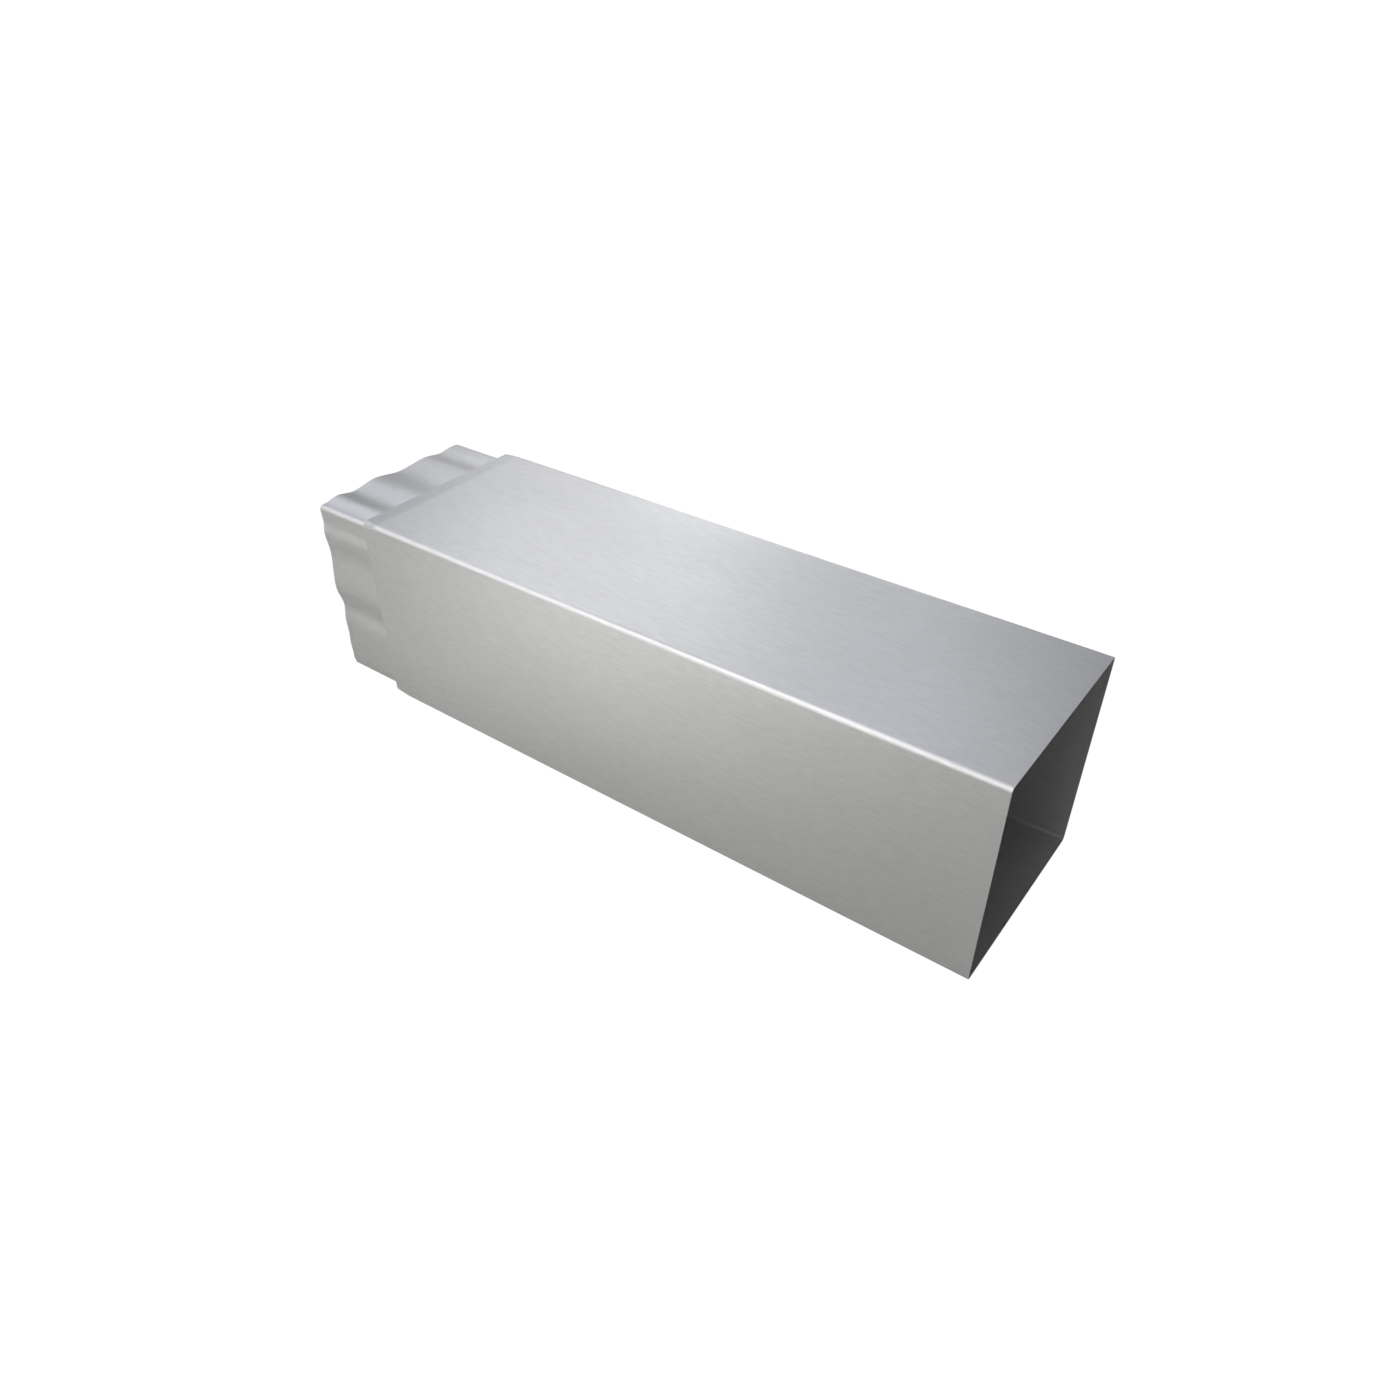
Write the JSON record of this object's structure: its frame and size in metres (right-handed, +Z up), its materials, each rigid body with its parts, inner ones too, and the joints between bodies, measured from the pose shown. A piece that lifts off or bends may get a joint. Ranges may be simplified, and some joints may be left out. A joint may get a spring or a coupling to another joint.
{
  "type": "range hood duct pipe",
  "caption": "Straight square sheet-metal duct with a plain open mouth and a stepped-in crimped end that slips into the next duct, carrying air from a range hood.",
  "frame": {"origin": "middle of the duct's length and width, on the floor under the face it lies on", "axes": "+X along the duct towards the plain mouth, +Z up from the face it lies on, +Y across"},
  "size_m": [0.55, 0.15, 0.15],
  "materials": {
    "brushed_sheet": "fine brushed along the length"
  },
  "bodies": {
    "root": {"duct_pipe": "brushed_sheet"}
  },
  "joints": []
}
